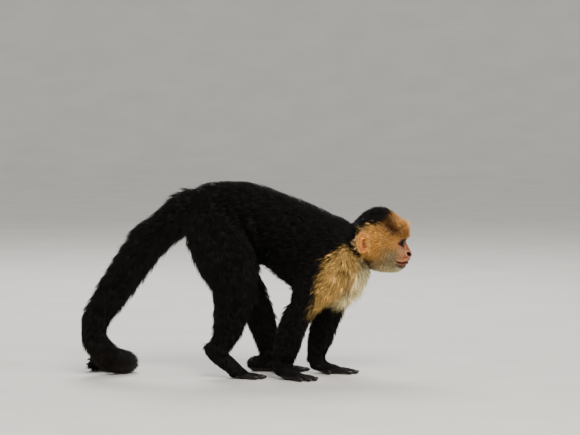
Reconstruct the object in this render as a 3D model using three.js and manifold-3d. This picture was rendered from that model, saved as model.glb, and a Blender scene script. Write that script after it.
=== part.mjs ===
// A white-faced capuchin monkey at life size, walking, with its back arched, its head low and level, and
// the end of its long tail laid on the ground. Millimetres, +X ahead, +Y to the animal's left, +Z up.
// Each solid reaches to the tips of the coat. The whole body is one still form that is parted at the
// neck, shoulders, elbows, wrists, hips, knees, ankles and along the tail.
import * as THREE from "three";
import { LoftGeometry } from "three/addons/geometries/LoftGeometry.js";
import { mergeVertices } from "three/addons/utils/BufferGeometryUtils.js";
import Module from "manifold-3d";

const { abs, cos, sin, pow, sqrt, PI } = Math;
const wasm = await Module();
wasm.setup();

// ---------------------------------------------------------------- driving dimensions
const PART_GAP = 0.3; // between neighbouring solids
const RIGHT = -1;
const LEFT = 1;
const EYE_RADIUS = 8.2;
const EYE = { x: 232.2, y: 14.6, z: 227 };
const EAR = { x: 171, y: 38, z: 229, high: 20, long: 14, thick: 5 };
const DIGIT_RADIUS = 4.2;
const DIGIT_REST = 0.66; // the height of a digit's line over the ground, as a share of its radius

// Stations of a body tube: [x, y, z, half width, half depth].
const TRUNK = [
  [-122, 0, 277, 32, 34],
  [-88, 0, 281.5, 44, 49.5],
  [-49, 0, 274, 49, 60],
  [-10, 0, 261.5, 52, 63.5],
  [27, 0, 243, 56, 68],
  [65, 0, 224, 59, 71],
  [102, 0, 202, 60, 75],
  [128, 0, 169, 52, 64],
  [143, 0, 146, 37, 44],
  [152, 0, 131, 22, 26],
];
const LOIN_CUT = 8; // x where the loins end and the chest begins
const NECK_CUT = 134; // x where the neck begins
const NECK = [
  [96, 0, 230, 44, 49],
  [129, 0, 223, 41, 47],
  [153, 0, 216, 37, 42],
  [177, 0, 214, 33, 37],
  [197, 0, 216, 26, 28],
];
const TAIL = [
  [-84, 0, 288.5, 29, 36.5],
  [-120, 0, 284.5, 33, 38.5],
  [-154, 0, 267, 34, 36],
  [-187, 0, 237, 33, 34],
  [-220, 0, 193, 31, 32],
  [-254, 0, 142, 28, 29],
  [-281, 0, 102, 25, 25],
  [-291, 0, 78, 23, 23],
  [-281, 0, 55, 23, 23],
  [-263, 4, 31, 22, 22],
  [-242, 18, 21, 21, 21],
  [-233, 41, 19, 19.6, 19.6],
  [-244, 63, 18, 18.6, 18.6],
  [-267, 72, 16, 16.6, 16.6],
  [-289, 63, 13, 13.6, 13.6],
  [-299, 46, 9, 9.6, 9.6],
];
const TAIL_CUTS = [6 / 15, 9 / 15]; // along the tail: hanging root, bend, and the length on the ground
const RIGHT_LEG = [
  [-108, -24, 286, 22, 34],
  [-88, -36, 256, 30, 49],
  [-65, -44, 211, 32, 53],
  [-50, -49, 177, 29, 45],
  [-46, -51, 146, 25, 38],
  [-51, -50, 116, 22, 32],
  [-59, -47, 78, 19, 26],
  [-71, -45, 53, 15, 18],
  [-74, -45, 38, 12, 14],
];
const LEFT_LEG = [
  [-82, 24, 290, 22, 32],
  [-53, 38, 234, 31, 48],
  [-34, 46, 184, 29, 38],
  [-24, 51, 151, 25, 32],
  [-12, 54, 120, 22, 29],
  [0, 57, 87, 19, 27],
  [7, 59, 56, 16, 22],
  [11, 60, 32, 13, 16],
  [12, 60, 16, 12, 13],
];
const LEG_CUTS = { knee: 0.5, ankle: 0.87 };
const RIGHT_ARM = [
  [133, -38, 216, 16, 30],
  [109, -50, 181, 25, 41],
  [81, -56, 147, 25, 32],
  [63, -58, 119, 22, 26],
  [51, -56, 87, 20, 25],
  [43, -53, 54, 18, 23],
  [34, -50, 26, 14, 18],
  [33, -49, 13, 11, 12],
];
const LEFT_ARM = [
  [143, 36, 214, 16, 30],
  [133, 48, 174, 25, 37],
  [122, 53, 139, 24, 29],
  [114, 52, 109, 22, 25],
  [106, 47, 79, 20, 24],
  [97, 40, 52, 18, 22],
  [92, 35, 27, 13, 16],
  [92, 34, 13, 11, 12],
];
const ARM_CUTS = { elbow: 3 / 7, wrist: 0.86 };

// Level slices of the head from the jaw up:
// [z, back x, front x, half width, the share of that width that is left towards the face].
const HEAD = [
  [176, 202, 230, 9, 1],
  [179.5, 191, 238, 16, 0.85],
  [185, 181, 243.5, 24, 0.75],
  [192, 171, 248.5, 30, 0.7],
  [200, 163, 252, 35, 0.62],
  [208, 158, 254.5, 38, 0.54],
  [216, 154, 251.5, 39.5, 0.52],
  [224, 152, 247.5, 40, 0.66],
  [231, 151, 244, 40, 0.82],
  [238, 151, 248, 39.5, 0.95],
  [248, 152, 251.5, 38.5, 1],
  [262, 158, 245, 35, 1],
  [274, 168, 230, 28, 1],
  [282, 179, 219, 20, 1],
  [286, 188, 211, 11, 1],
  [287.5, 195, 204, 4, 1],
];
const NOSE = { x: 246.2, y: 5.6, z: 208, radius: 7 };
const NOSTRIL = { x: 250.5, y: 12.4, z: 208, radius: 2.8 };
const MOUTH = { x: 229, z: 194, long: 21.2, wide: 19.6, gape: 0.7 };

// ---------------------------------------------------------------- shapes
const at = (x, y, z) => new THREE.Vector3(x, y, z);

// A closed geometry as a solid.
function solid(geometry) {
  const bare = new THREE.BufferGeometry();
  bare.setAttribute("position", geometry.getAttribute("position"));
  bare.setIndex(geometry.getIndex());
  const merged = mergeVertices(bare, 1e-4);
  const triVerts = new Uint32Array(merged.index.array);
  const vertProperties = merged.attributes.position.array;
  return new wasm.Manifold(new wasm.Mesh({ numProp: 3, vertProperties, triVerts }));
}

// How far a closed form has filled out at a share t of its length: 0 at both ends, 1 between them.
const fill = (t, bluntness) => sqrt(Math.max(1 - pow(abs(2 * t - 1), bluntness), 0.0004));

// Shares of a length, from 0 to 1, that lie closer together near both ends.
const spaced = (steps) => Array.from({ length: steps + 1 }, (_, i) => 0.5 - 0.5 * cos((PI * i) / steps));

// A round-ended tube through stations. Its sections stand square to its line.
function tube(stations, { sides = 16, steps = 16, bluntness = 12, grow = 0 } = {}) {
  const line = new THREE.CatmullRomCurve3(stations.map(([x, y, z]) => at(x, y, z)));
  const girth = new THREE.CatmullRomCurve3(
    stations.map(([, , , wide, deep]) => at(wide, deep, 0)),
    false,
    "catmullrom",
  );
  const across = at(0, 1, 0);
  const sections = spaced(steps).map((t) => {
    const middle = line.getPoint(t);
    const along = line.getTangent(t);
    across.addScaledVector(along, -across.dot(along)).normalize();
    const up = along.clone().cross(across);
    const size = girth.getPoint(t).multiplyScalar(fill(t, bluntness)).addScalar(grow);
    return Array.from({ length: sides }, (_, k) => {
      const angle = (2 * PI * k) / sides;
      return middle
        .clone()
        .addScaledVector(across, size.x * cos(angle))
        .addScaledVector(up, size.y * sin(angle));
    });
  });
  return solid(new LoftGeometry(sections, { capStart: true, capEnd: true }));
}

// The share of a slice's width at a place from -1 at its back to 1 at its front.
function narrowed(place, frontShare) {
  const ahead = THREE.MathUtils.smoothstep(place, 0.05, 0.95);
  return 1 + (frontShare - 1) * ahead;
}

// The skull in its flesh and hair: a stack of level slices, smoothed between the rows.
function headStack(grow, sides = 20, steps = 18) {
  const ends = new THREE.CatmullRomCurve3(HEAD.map(([z, back, front]) => at(back, front, z)));
  const girth = new THREE.CatmullRomCurve3(HEAD.map(([z, , , wide, share]) => at(wide, 20 * share, z)));
  const sections = Array.from({ length: steps + 1 }, (_, i) => {
    const { x: back, y: front, z } = ends.getPoint(i / steps);
    const { x: wide, y: share } = girth.getPoint(i / steps);
    const lift = grow * (i === 0 ? -1 : i === steps ? 1 : 0);
    return Array.from({ length: sides }, (_, k) => {
      const angle = (2 * PI * k) / sides;
      const x = (back + front) / 2 + ((front - back) / 2 + grow) * cos(angle);
      const y = (wide + grow) * sin(angle) * narrowed(cos(angle), share / 20);
      return at(x, y, z + lift);
    });
  });
  return solid(new LoftGeometry(sections, { capStart: true, capEnd: true }));
}

function ball(radius, { x, y, z }, scale = [1, 1, 1], turn = 0, sides = 10) {
  const shape = new THREE.SphereGeometry(radius, sides, sides / 2 + 1);
  shape.scale(...scale).rotateZ(turn).translate(x, y, z);
  return solid(shape);
}

const largest = (shape) => shape.decompose().reduce((a, b) => (a.volume() > b.volume() ? a : b));
const join = (...shapes) => shapes.reduce((a, b) => a.add(b));
const cut = (shape, ...others) => largest(others.reduce((a, b) => a.subtract(b), shape));
const onFloor = (shape) => largest(shape.trimByPlane([0, 0, 1], 0));

// Parts a tube square to its line at each share of its length, and leaves the gap between the lengths.
function lengths(shape, stations, shares) {
  const line = new THREE.CatmullRomCurve3(stations.map(([x, y, z]) => at(x, y, z)));
  const pieces = [];
  let rest = shape;
  for (const t of shares) {
    const along = line.getTangent(t);
    const offset = along.dot(line.getPoint(t));
    pieces.push(largest(rest.trimByPlane(along.clone().negate().toArray(), PART_GAP / 2 - offset)));
    rest = largest(rest.trimByPlane(along.toArray(), offset + PART_GAP / 2));
  }
  return [...pieces, rest];
}

// ---------------------------------------------------------------- hands and feet
// A finger or toe on the ground from its knuckle, with its first joint a little raised.
function digit(start, heading, length, radius = DIGIT_RADIUS) {
  const reach = (share, height, thick) => [
    start.x + cos(heading) * length * share,
    start.y + sin(heading) * length * share,
    height,
    radius * thick,
    radius * thick,
  ];
  const low = radius * DIGIT_REST;
  const stations = [
    reach(-0.2, start.z - 1, 1),
    reach(0.25, start.z, 1.12),
    reach(0.6, low + 0.6, 1.05),
    reach(1, low, 0.85),
  ];
  return tube(stations, { sides: 6, steps: 4, bluntness: 8 });
}

// Four long digits side by side across a knuckle line, and a thick first digit on the inner side.
function digits(side, { knuckle, spread, fan, longest, thumb }) {
  const shares = [0.86, 1, 0.96, 0.8];
  const row = shares.map((share, i) => {
    const place = (i - 1.5) / 1.5; // from -1 for the innermost to 1 for the outermost
    const start = { x: knuckle.x - 3 * place * place, y: side * place * spread, z: knuckle.z };
    return digit(start, side * place * fan, longest * share);
  });
  const inner = { x: thumb.x, y: -side * thumb.out, z: thumb.z };
  return join(...row, digit(inner, -side * thumb.heading, thumb.length, thumb.radius));
}

function placed(shape, heading, { x, y }) {
  const turn = new THREE.Matrix4().makeRotationZ(heading).setPosition(x, y, 0);
  return shape.transform(turn.toArray());
}

// A hand laid flat, its wrist over the origin and its fingers towards +X before it is turned.
function hand(side, heading, wrist) {
  const palm = [
    [-8, 0, 24, 11, 12],
    [2, 0, 17, 14, 13],
    [18, 0, 9, 17.5, 10.5],
    [34, 0, 6.5, 17.5, 8],
    [43, 0, 5.5, 14, 6],
  ];
  const fingers = digits(side, {
    knuckle: { x: 38, z: 7 },
    spread: 12.5,
    fan: 0.24,
    longest: 41,
    thumb: { x: 14, out: 11, z: 5, heading: 0.85, length: 26, radius: 4.6 },
  });
  const whole = join(tube(palm, { sides: 10, steps: 6, bluntness: 8 }), fingers);
  return placed(whole, heading, wrist);
}

// A foot on its toes and ball, its heel raised by a lift. The ball is over the origin before it is turned.
function foot(side, heading, lift, place) {
  const sole = [
    [-68, 0, lift * 1.2 + 13, 9, 9],
    [-60, 0, lift * 1.05 + 14, 13, 15],
    [-38, 0, lift * 0.6 + 14, 14, 14.5],
    [-16, 0, lift * 0.2 + 11, 16.5, 12],
    [0, 0, 7.2, 17, 9],
    [10, 0, 5, 14, 6.4],
  ];
  const toes = digits(side, {
    knuckle: { x: 5, z: 6.5 },
    spread: 12,
    fan: 0.2,
    longest: 38,
    thumb: { x: -22, out: 9, z: 5.5, heading: 0.6, length: 34, radius: 5.6 },
  });
  const whole = join(tube(sole, { sides: 10, steps: 7, bluntness: 8 }), toes);
  return placed(whole, heading, place);
}

// ---------------------------------------------------------------- the body
const trunk = (grow) => tube(TRUNK, { sides: 20, steps: 15, bluntness: 10, grow });
const neckTube = (grow) => tube(NECK, { sides: 16, steps: 6, grow });
const nostrilWing = (side) => {
  const middle = { x: NOSE.x, y: side * NOSE.y, z: NOSE.z };
  return ball(NOSE.radius, middle, [1.22, 1, 0.8]);
};
const socket = (side) => join(
  ball(EYE_RADIUS + PART_GAP, { x: EYE.x, y: side * EYE.y, z: EYE.z }),
  ball(EYE_RADIUS, { x: EYE.x + 9, y: side * (EYE.y + 1.5), z: EYE.z }, [1, 1.05, 0.75]),
);

// An ear: a rounded shell, open outwards and forwards, that leans out from the head.
function ear(side) {
  const lean = side * -0.35;
  const scale = [EAR.long / EAR.high, EAR.thick / EAR.high, 1];
  const middle = { x: EAR.x, y: side * EAR.y, z: EAR.z };
  const hollow = { x: EAR.x + 1.5, y: side * (EAR.y + 4.4), z: EAR.z + 1 };
  const shell = ball(EAR.high, middle, scale, lean, 12);
  return cut(shell, ball(EAR.high * 0.74, hollow, scale, lean, 10), headStack(PART_GAP), neckTube(PART_GAP));
}

const nostril = (side) => {
  const middle = { x: NOSTRIL.x, y: side * NOSTRIL.y, z: NOSTRIL.z };
  return ball(NOSTRIL.radius, middle, [1, 1, 1], 0, 6);
};
const mouthScale = [MOUTH.long / MOUTH.wide, 1, MOUTH.gape / MOUTH.wide];
const lipLine = ball(MOUTH.wide, { x: MOUTH.x, y: 0, z: MOUTH.z }, mouthScale);
const face = join(headStack(0), nostrilWing(RIGHT), nostrilWing(LEFT));
const head = cut(face, socket(RIGHT), socket(LEFT), nostril(RIGHT), nostril(LEFT), lipLine);
const neckAhead = (grow) => neckTube(grow).trimByPlane([1, 0, 0], NECK_CUT - grow);
const neck = cut(neckAhead(0), headStack(PART_GAP));
const loins = trunk(0).trimByPlane([-1, 0, 0], PART_GAP / 2 - LOIN_CUT);
const chestWhole = trunk(0).trimByPlane([1, 0, 0], PART_GAP / 2 + LOIN_CUT);
const chest = cut(chestWhole, neckAhead(PART_GAP), headStack(PART_GAP));
const legTube = (stations, grow) => tube(stations, { sides: 14, steps: 16, grow });
const armTube = (stations, grow) => tube(stations, { sides: 14, steps: 15, grow });
const tailTube = onFloor(tube(TAIL, { sides: 12, steps: 26, bluntness: 24 }));
const tail = cut(tailTube, trunk(PART_GAP), legTube(RIGHT_LEG, PART_GAP), legTube(LEFT_LEG, PART_GAP));

// A limb's two lengths, and its hand or foot joined to the stub beyond the last cut.
function limb(stations, tubeOf, shares, extremity, ...others) {
  const [upper, lower, stub] = lengths(cut(tubeOf(stations, 0), ...others), stations, shares);
  const line = new THREE.CatmullRomCurve3(stations.map(([x, y, z]) => at(x, y, z)));
  const along = line.getTangent(shares[1]);
  const below = along.dot(line.getPoint(shares[1])) + PART_GAP / 2;
  const end = onFloor(join(stub, extremity.trimByPlane(along.toArray(), below)));
  return [upper, lower, end];
}

const legCuts = [LEG_CUTS.knee, LEG_CUTS.ankle];
const armCuts = [ARM_CUTS.elbow, ARM_CUTS.wrist];
const rightFoot = foot(RIGHT, -0.2, 36, { x: -32, y: -51 });
const leftFoot = foot(LEFT, 0.08, 0, { x: 42, y: 62 });
const rightHand = hand(RIGHT, -0.7, { x: 31, y: -50 });
const leftHand = hand(LEFT, -0.18, { x: 92, y: 34 });

const limbs = {
  right_leg: limb(RIGHT_LEG, legTube, legCuts, rightFoot, trunk(PART_GAP)),
  left_leg: limb(LEFT_LEG, legTube, legCuts, leftFoot, trunk(PART_GAP)),
  right_arm: limb(RIGHT_ARM, armTube, armCuts, rightHand, trunk(PART_GAP), neckTube(PART_GAP)),
  left_arm: limb(LEFT_ARM, armTube, armCuts, leftHand, trunk(PART_GAP), neckTube(PART_GAP)),
};

// ---------------------------------------------------------------- the scene graph
const finish = (color, roughness) => {
  return new THREE.MeshStandardMaterial({ color, roughness, metalness: 0, flatShading: true });
};
const finishes = {
  black: finish(0x15120f, 0.85),
  cream: finish(0xc8a878, 0.85),
  face: finish(0xc4875f, 0.7),
  skin: finish(0x241c1a, 0.6),
  ear: finish(0xd19a72, 0.65),
  eye: finish(0x2a1509, 0.15),
};

const animal = new THREE.Group();
function add(name, shape, material) {
  const { vertProperties, triVerts } = shape.getMesh();
  const geometry = new THREE.BufferGeometry();
  geometry.setAttribute("position", new THREE.BufferAttribute(vertProperties, 3));
  geometry.setIndex(new THREE.BufferAttribute(triVerts, 1));
  geometry.computeVertexNormals();
  const mesh = new THREE.Mesh(geometry, material);
  mesh.name = name;
  animal.add(mesh);
}

add("head", head, finishes.face);
add("neck", neck, finishes.cream);
add("chest", chest, finishes.black);
add("loins", loins, finishes.black);
lengths(tail, TAIL, TAIL_CUTS).forEach((shape, i) => {
  add(["tail_root", "tail_bend", "tail_end"][i], shape, finishes.black);
});
for (const [side, word] of [[RIGHT, "right"], [LEFT, "left"]]) {
  add(`${word}_ear`, ear(side), finishes.ear);
  add(`${word}_eye`, ball(EYE_RADIUS, { x: EYE.x, y: side * EYE.y, z: EYE.z }), finishes.eye);
  const [thigh, shank, sole] = limbs[`${word}_leg`];
  add(`${word}_thigh`, thigh, finishes.black);
  add(`${word}_shank`, shank, finishes.black);
  add(`${word}_foot`, sole, finishes.skin);
  const [upperArm, forearm, palm] = limbs[`${word}_arm`];
  add(`${word}_upper_arm`, upperArm, finishes.black);
  add(`${word}_forearm`, forearm, finishes.black);
  add(`${word}_hand`, palm, finishes.skin);
}

// The origin is on the ground, under the middle of the whole animal.
const box = new THREE.Box3().setFromObject(animal);
animal.position.set(-(box.min.x + box.max.x) / 2, -(box.min.y + box.max.y) / 2, -box.min.z);

export default animal;
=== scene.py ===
"""A white-faced capuchin at life size: skin, eyes, nails and coat around the solids of the frame.

The skin is one closed surface that lies inside the solids by the depth of the coat. The coat is
many thin tufts that grow from the skin, follow its lie and end where the solids end. Lengths whose
names end in _MM, and places and radii in threes, are millimetres along the frame's axes: over the body
from the frame's origin, and on the face from the point between the eyes.
"""

import math
import bmesh
import bpy
import numpy as np
from mathutils import Matrix, Vector
from mathutils.bvhtree import BVHTree
from mathutils.kdtree import KDTree


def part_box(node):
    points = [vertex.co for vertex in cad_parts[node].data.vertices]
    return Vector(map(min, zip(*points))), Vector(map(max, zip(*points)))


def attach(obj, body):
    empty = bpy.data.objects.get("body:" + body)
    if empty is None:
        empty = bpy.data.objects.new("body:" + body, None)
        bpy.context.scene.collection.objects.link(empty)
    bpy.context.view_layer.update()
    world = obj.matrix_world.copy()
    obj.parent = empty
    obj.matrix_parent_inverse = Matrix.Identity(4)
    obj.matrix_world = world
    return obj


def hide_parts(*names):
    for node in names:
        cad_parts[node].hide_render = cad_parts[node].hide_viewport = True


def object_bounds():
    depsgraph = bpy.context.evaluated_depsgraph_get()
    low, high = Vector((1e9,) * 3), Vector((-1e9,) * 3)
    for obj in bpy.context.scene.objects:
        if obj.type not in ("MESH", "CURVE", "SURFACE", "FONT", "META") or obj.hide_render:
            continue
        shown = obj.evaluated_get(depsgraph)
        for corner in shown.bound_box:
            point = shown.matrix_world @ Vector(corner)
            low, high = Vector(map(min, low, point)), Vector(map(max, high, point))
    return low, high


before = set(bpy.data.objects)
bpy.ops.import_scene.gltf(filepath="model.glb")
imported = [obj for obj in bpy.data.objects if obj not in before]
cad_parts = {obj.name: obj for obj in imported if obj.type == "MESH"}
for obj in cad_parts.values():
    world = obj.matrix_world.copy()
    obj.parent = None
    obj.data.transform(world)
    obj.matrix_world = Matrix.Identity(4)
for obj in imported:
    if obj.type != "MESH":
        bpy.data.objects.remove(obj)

bl_info = {
    "name": "Capuchin Monkey Model",
    "version": (1, 0, 0),
    "blender": (4, 5, 0),
    "location": "3D View > Sidebar > Monkey",
    "description": "Dresses the solids of a life-size capuchin monkey with skin, eyes, nails and coat",
    "category": "Object",
}

MM = 0.001
TINY = 1e-9  # added to a length before something is divided by it
CAD_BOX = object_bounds()

# ---------------------------------------------------------------- the animal's places
SIDES = ("right", "left")
OUTER = {"right": -1, "left": 1}  # the sign of Y on the outer side of each
TRUNK = ("chest", "loins")
TAIL = ("tail_root", "tail_bend", "tail_end")
LIMBS = ("upper_arm", "forearm", "hand", "thigh", "shank", "foot")
EYES = tuple(f"{side}_eye" for side in SIDES)
FLESH = ("head", "neck", *TRUNK, *TAIL, *(f"{side}_{part}" for side in SIDES for part in ("ear", *LIMBS)))


def on(nodes, *names):
    """Which node numbers are those of the named nodes, or of the named parts on either side."""
    return np.isin(nodes, [i for i, n in enumerate(FLESH) if n in names or n.split("_", 1)[-1] in names])


def middle(node):
    """The middle of a solid's box, in millimetres."""
    low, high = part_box(node)
    return np.array((low + high) / 2) / MM


EYE_MIDDLES = {side: middle(f"{side}_eye") for side in SIDES}
FACE = (EYE_MIDDLES["right"] + EYE_MIDDLES["left"]) / 2  # the point midway between the eyes
EYE_RADIUS_MM = (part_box("right_eye")[1].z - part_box("right_eye")[0].z) / 2 / MM
MID_Y = FACE[1]

# The middle line of each length of the body, in the direction in which its hair lies.
LINES = {
    "trunk": [
        (175, 11, 160), (156, 11, 185), (130, 11, 205), (93, 11, 226), (55, 11, 244),
        (18, 11, 261), (-21, 11, 273), (-60, 11, 279), (-100, 11, 278),
    ],
    "neck": [(236, 11, 214), (200, 11, 214), (157, 11, 224), (124, 11, 232)],
    "tail": [
        (-56, 11, 286), (-92, 11, 283), (-126, 11, 267), (-159, 11, 237), (-192, 11, 193),
        (-226, 11, 142), (-253, 11, 102), (-263, 11, 78), (-253, 11, 55), (-235, 15, 31),
        (-214, 29, 21), (-205, 52, 19), (-216, 74, 18), (-239, 83, 16), (-261, 74, 13), (-271, 57, 9),
    ],
    "right_leg": [
        (-80, -13, 286), (-37, -33, 211), (-18, -40, 146), (-31, -36, 78), (-43, -34, 53), (-46, -34, 38),
    ],
    "left_leg": [(-54, 35, 290), (-6, 57, 184), (4, 62, 151), (28, 68, 87), (39, 71, 32), (40, 71, 16)],
    "right_arm": [(161, -27, 216), (109, -45, 147), (91, -47, 119), (71, -42, 54), (61, -38, 13)],
    "left_arm": [(171, 47, 214), (150, 64, 139), (142, 63, 109), (125, 51, 52), (120, 45, 13)],
    "right_foot": [(-60, -28, 55), (-4, -40, 8), (36, -48, 4)],
    "left_foot": [(0, 67, 15), (70, 73, 8), (110, 76, 4)],
    "right_hand": [(59, -39, 20), (92, -67, 8), (122, -92, 4)],
    "left_hand": [(120, 45, 20), (162, 38, 8), (201, 31, 4)],
}


def line_of(node):
    """The name of the middle line that a node's hair follows."""
    if node in TRUNK:
        return "trunk"
    if node in TAIL:
        return "tail"
    if node in ("head", "neck") or node.endswith("ear"):
        return "neck"
    side, part = node.split("_", 1)
    if part in ("hand", "foot"):
        return node
    return f"{side}_arm" if part in ("upper_arm", "forearm") else f"{side}_leg"


# How deep the coat is, in millimetres, from the tips that the solids reach to the skin.
COAT_DEPTH_MM = {
    "head": 4.5, "neck": 7.5, "chest": 9, "loins": 9, "tail_root": 11, "tail_bend": 9.5, "tail_end": 7,
    "ear": 0.2, "upper_arm": 7.5, "forearm": 5.5, "hand": 0.6, "thigh": 8.5, "shank": 6, "foot": 0.6,
}
# How long a tuft is, in millimetres.
HAIR_LENGTH_MM = {
    "head": 12, "neck": 17, "chest": 25, "loins": 25, "tail_root": 26, "tail_bend": 23, "tail_end": 17,
    "ear": 6, "upper_arm": 19, "forearm": 15, "hand": 5.5, "thigh": 25, "shank": 17, "foot": 5.5,
}
# How often each place of the raw surface is evened out, so that no facet of the solids is left.
EVENING = {
    "head": 26, "neck": 70, "chest": 90, "loins": 90, "tail_root": 70, "tail_bend": 60, "tail_end": 40,
    "ear": 4, "upper_arm": 60, "forearm": 50, "hand": 5, "thigh": 70, "shank": 50, "foot": 6,
}


def by_node(table, nodes):
    """For each node number, its value in a table that is keyed by node or, for both sides, by part."""
    return np.array([table.get(n, table.get(n.split("_", 1)[-1])) for n in FLESH], float)[nodes]


# ---------------------------------------------------------------- colours
def linear(code):
    """An sRGB hex colour as linear red, green and blue."""
    parts = [int(code[i : i + 2], 16) / 255 for i in (1, 3, 5)]
    return tuple(c / 12.92 if c <= 0.04045 else ((c + 0.055) / 1.055) ** 2.4 for c in parts)


# Each colour, as its sRGB code, its name for the user and what it colours.
PALETTE = {
    "black": ("#0e0c0a", "Black coat", "Hair of the body"),
    "brown_black": ("#1c140f", "Brown black", "Hair low on the limbs"),
    "mantle": ("#c69f59", "Mantle", "Hair of shoulders and upper arms"),
    "cream": ("#efe1ae", "Cream", "Hair of the chest and under the chin"),
    "gold": ("#e2a34a", "Gold", "Hair of the head's sides"),
    # Brow: the temple's own dark hair, and painted shade on the hair along the brow's lower edge.
    "brow": ("#331709", "Brow", "Dark hair of the temple and the brow's edge"),
    "russet": ("#8a4d1d", "Russet", "Hair round the temple's dark patch"),
    "pale_tip": ("#f4e3b4", "Pale tips", "Hair of the brow's front"),
    "cheek": ("#9c8860", "Cheek", "Hair of the lower cheek"),
    # Throat: painted shade, the darker hair where the head shades the throat and the jaw's rear.
    "throat": ("#45371c", "Throat shade", "Hair of the throat"),
    "wisp": ("#cfae78", "Wisps", "Hair behind the ears"),
    "chin": ("#33200e", "Chin", "Hair and skin of the chin"),
    "face_skin": ("#8b4d2a", "Face", "Bare skin of the face"),
    "nose_skin": ("#7b4631", "Nose", "Bare skin of the nose"),
    # Lids: the lids' own dark skin, and painted shade under the brow and over the eyes.
    "lid": ("#150b08", "Lids", "Skin round the eyes and under the brow"),
    # Painted highlights on the nostrils' rims, the upper lip's rim, under the eyes and on the muzzle's
    # folds.
    "skin_highlight": ("#b88862", "Skin highlight", "Skin of the nostrils' rims, the upper lip and under the eyes"),
    # Lips: the lips' own colour, and painted shade in the muzzle's creases.
    "lip": ("#522a1f", "Lips", "Lips and creases"),
    "ear_skin": ("#c37e38", "Ears", "Skin of the ears"),
    # Ear hollow: painted shade in the ears' hollows, darker where they are deeper.
    "ear_hollow": ("#74391a", "Ear hollow", "Skin inside the ears"),
    "hand_skin": ("#171210", "Hands", "Skin of hands and feet"),
    # Openings: painted shade in the nostrils and in the gap between the lips.
    "inside": ("#0a0504", "Openings", "Nostrils and the line of the mouth"),
}
TONE = {name: np.array(linear(code)) for name, (code, _, _) in PALETTE.items()}


def smooth(low, high, value):
    """0 below low, 1 above high, and a smooth rise between; high may be the lower of the two."""
    share = np.clip((value - low) / (high - low), 0, 1)
    return share * share * (3 - 2 * share)


def mix(a, b, share):
    """Blends two colours, or two lists of them, by a share for each place."""
    share = np.asarray(share, float)[..., None]
    return a * (1 - share) + b * share


def bump(offset, radii):
    """A soft mound: 1 at its middle and 0 beyond about twice its radii."""
    return np.exp(-np.sum((offset / np.asarray(radii, float)) ** 2, axis=-1))


def ridge(offset, width):
    """A soft ridge: 1 along its middle and 0 beyond about twice its width."""
    return np.exp(-((offset / width) ** 2))


def unit(vectors):
    """Vectors made one long."""
    return vectors / (np.linalg.norm(vectors, axis=1)[:, None] + TINY)


def mirrored(face):
    """Places from the point between the eyes, all brought to its left side."""
    return face * (1, 0, 1) + np.abs(face) * (0, 1, 0)


def painted(colours, coats):
    """Colours under coats of paint: for each, the name of its tone and its share at each place."""
    for tone, share in coats:
        colours = mix(colours, TONE[tone], share)
    return colours


# ---------------------------------------------------------------- fields over the body
def follow(points, line):
    """For each point, the nearest place on a line: its share of the length, its direction and itself."""
    knots = np.array(LINES[line], float)
    steps = knots[1:] - knots[:-1]
    lengths = np.linalg.norm(steps, axis=1)
    starts = np.concatenate([[0], np.cumsum(lengths)])
    nearest = np.full(len(points), np.inf)
    share = np.zeros(len(points))
    direction = np.zeros((len(points), 3))
    place = np.zeros((len(points), 3))
    for i, step in enumerate(steps):
        t = np.clip((points - knots[i]) @ step / lengths[i] ** 2, 0, 1)
        spot = knots[i] + t[:, None] * step
        distance = np.linalg.norm(points - spot, axis=1)
        closer = distance < nearest
        nearest[closer] = distance[closer]
        share[closer] = (starts[i] + t[closer] * lengths[i]) / starts[-1]
        direction[closer] = step / lengths[i]
        place[closer] = spot[closer]
    return share, direction, place


def bare_face(face):
    """1 on the bare skin round the eyes, nose and mouth, by place from the point between the eyes."""
    x, y, z = face[:, 0], np.abs(face[:, 1]), face[:, 2]
    back = np.interp(z, [-46, -40, -30, -15, 0, 8], [6, -2, -6, -3, -5, 4])
    return smooth(back - 2, back + 4, x) * smooth(12, 5, z) * smooth(-48, -42, z) * smooth(30, 22, y)


def cap_share(face):
    """1 in the black cap of the crown and nape."""
    ahead = [-110, -84, -77, -72, -50, -30, -20, -10, -6, 0]
    edge = np.interp(face[:, 0], ahead, [-60, -44, -22, 29, 30, 31, 38, 47, 54, 66])
    nape = smooth(24, 13, np.abs(face[:, 1])) * smooth(-50, -62, face[:, 0])
    soft = 2 + 3 * smooth(-34, -16, face[:, 0])
    return smooth(-1, 1, (face[:, 2] - edge + 70 * nape) / soft)


def mantle_share(points):
    """1 in the pale mantle of the shoulders, upper arms, throat and chest."""
    x, y, z = points[:, 0], points[:, 1] - MID_Y, points[:, 2]
    edge = np.interp(z, [90, 107, 124, 145, 169, 193, 210, 222], [98, 105, 111, 119, 123, 135, 148, 164])
    top = np.interp(x, [150, 164, 183, 193, 250], [240, 222, 209, 205, 205])
    inner_side = 22 * smooth(58, 44, np.abs(y)) * smooth(140, 125, z)
    foot = z + 0.12 * (x - 130) - inner_side
    return smooth(-5, 5, x - edge) * smooth(4, -4, z - top) * smooth(90, 123, foot)


def cream_share(points):
    """1 where the mantle pales to cream, on the chest's front and the throat."""
    x, z = points[:, 0], points[:, 2]
    across = np.abs(points[:, 1] - MID_Y)
    edge = np.interp(z, [114, 134, 157, 181, 205], [148, 158, 172, 184, 200])
    return smooth(-11, 9, x + 0.35 * np.maximum(0, 45 - across) - edge - 6) * smooth(66, 46, across)


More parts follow.
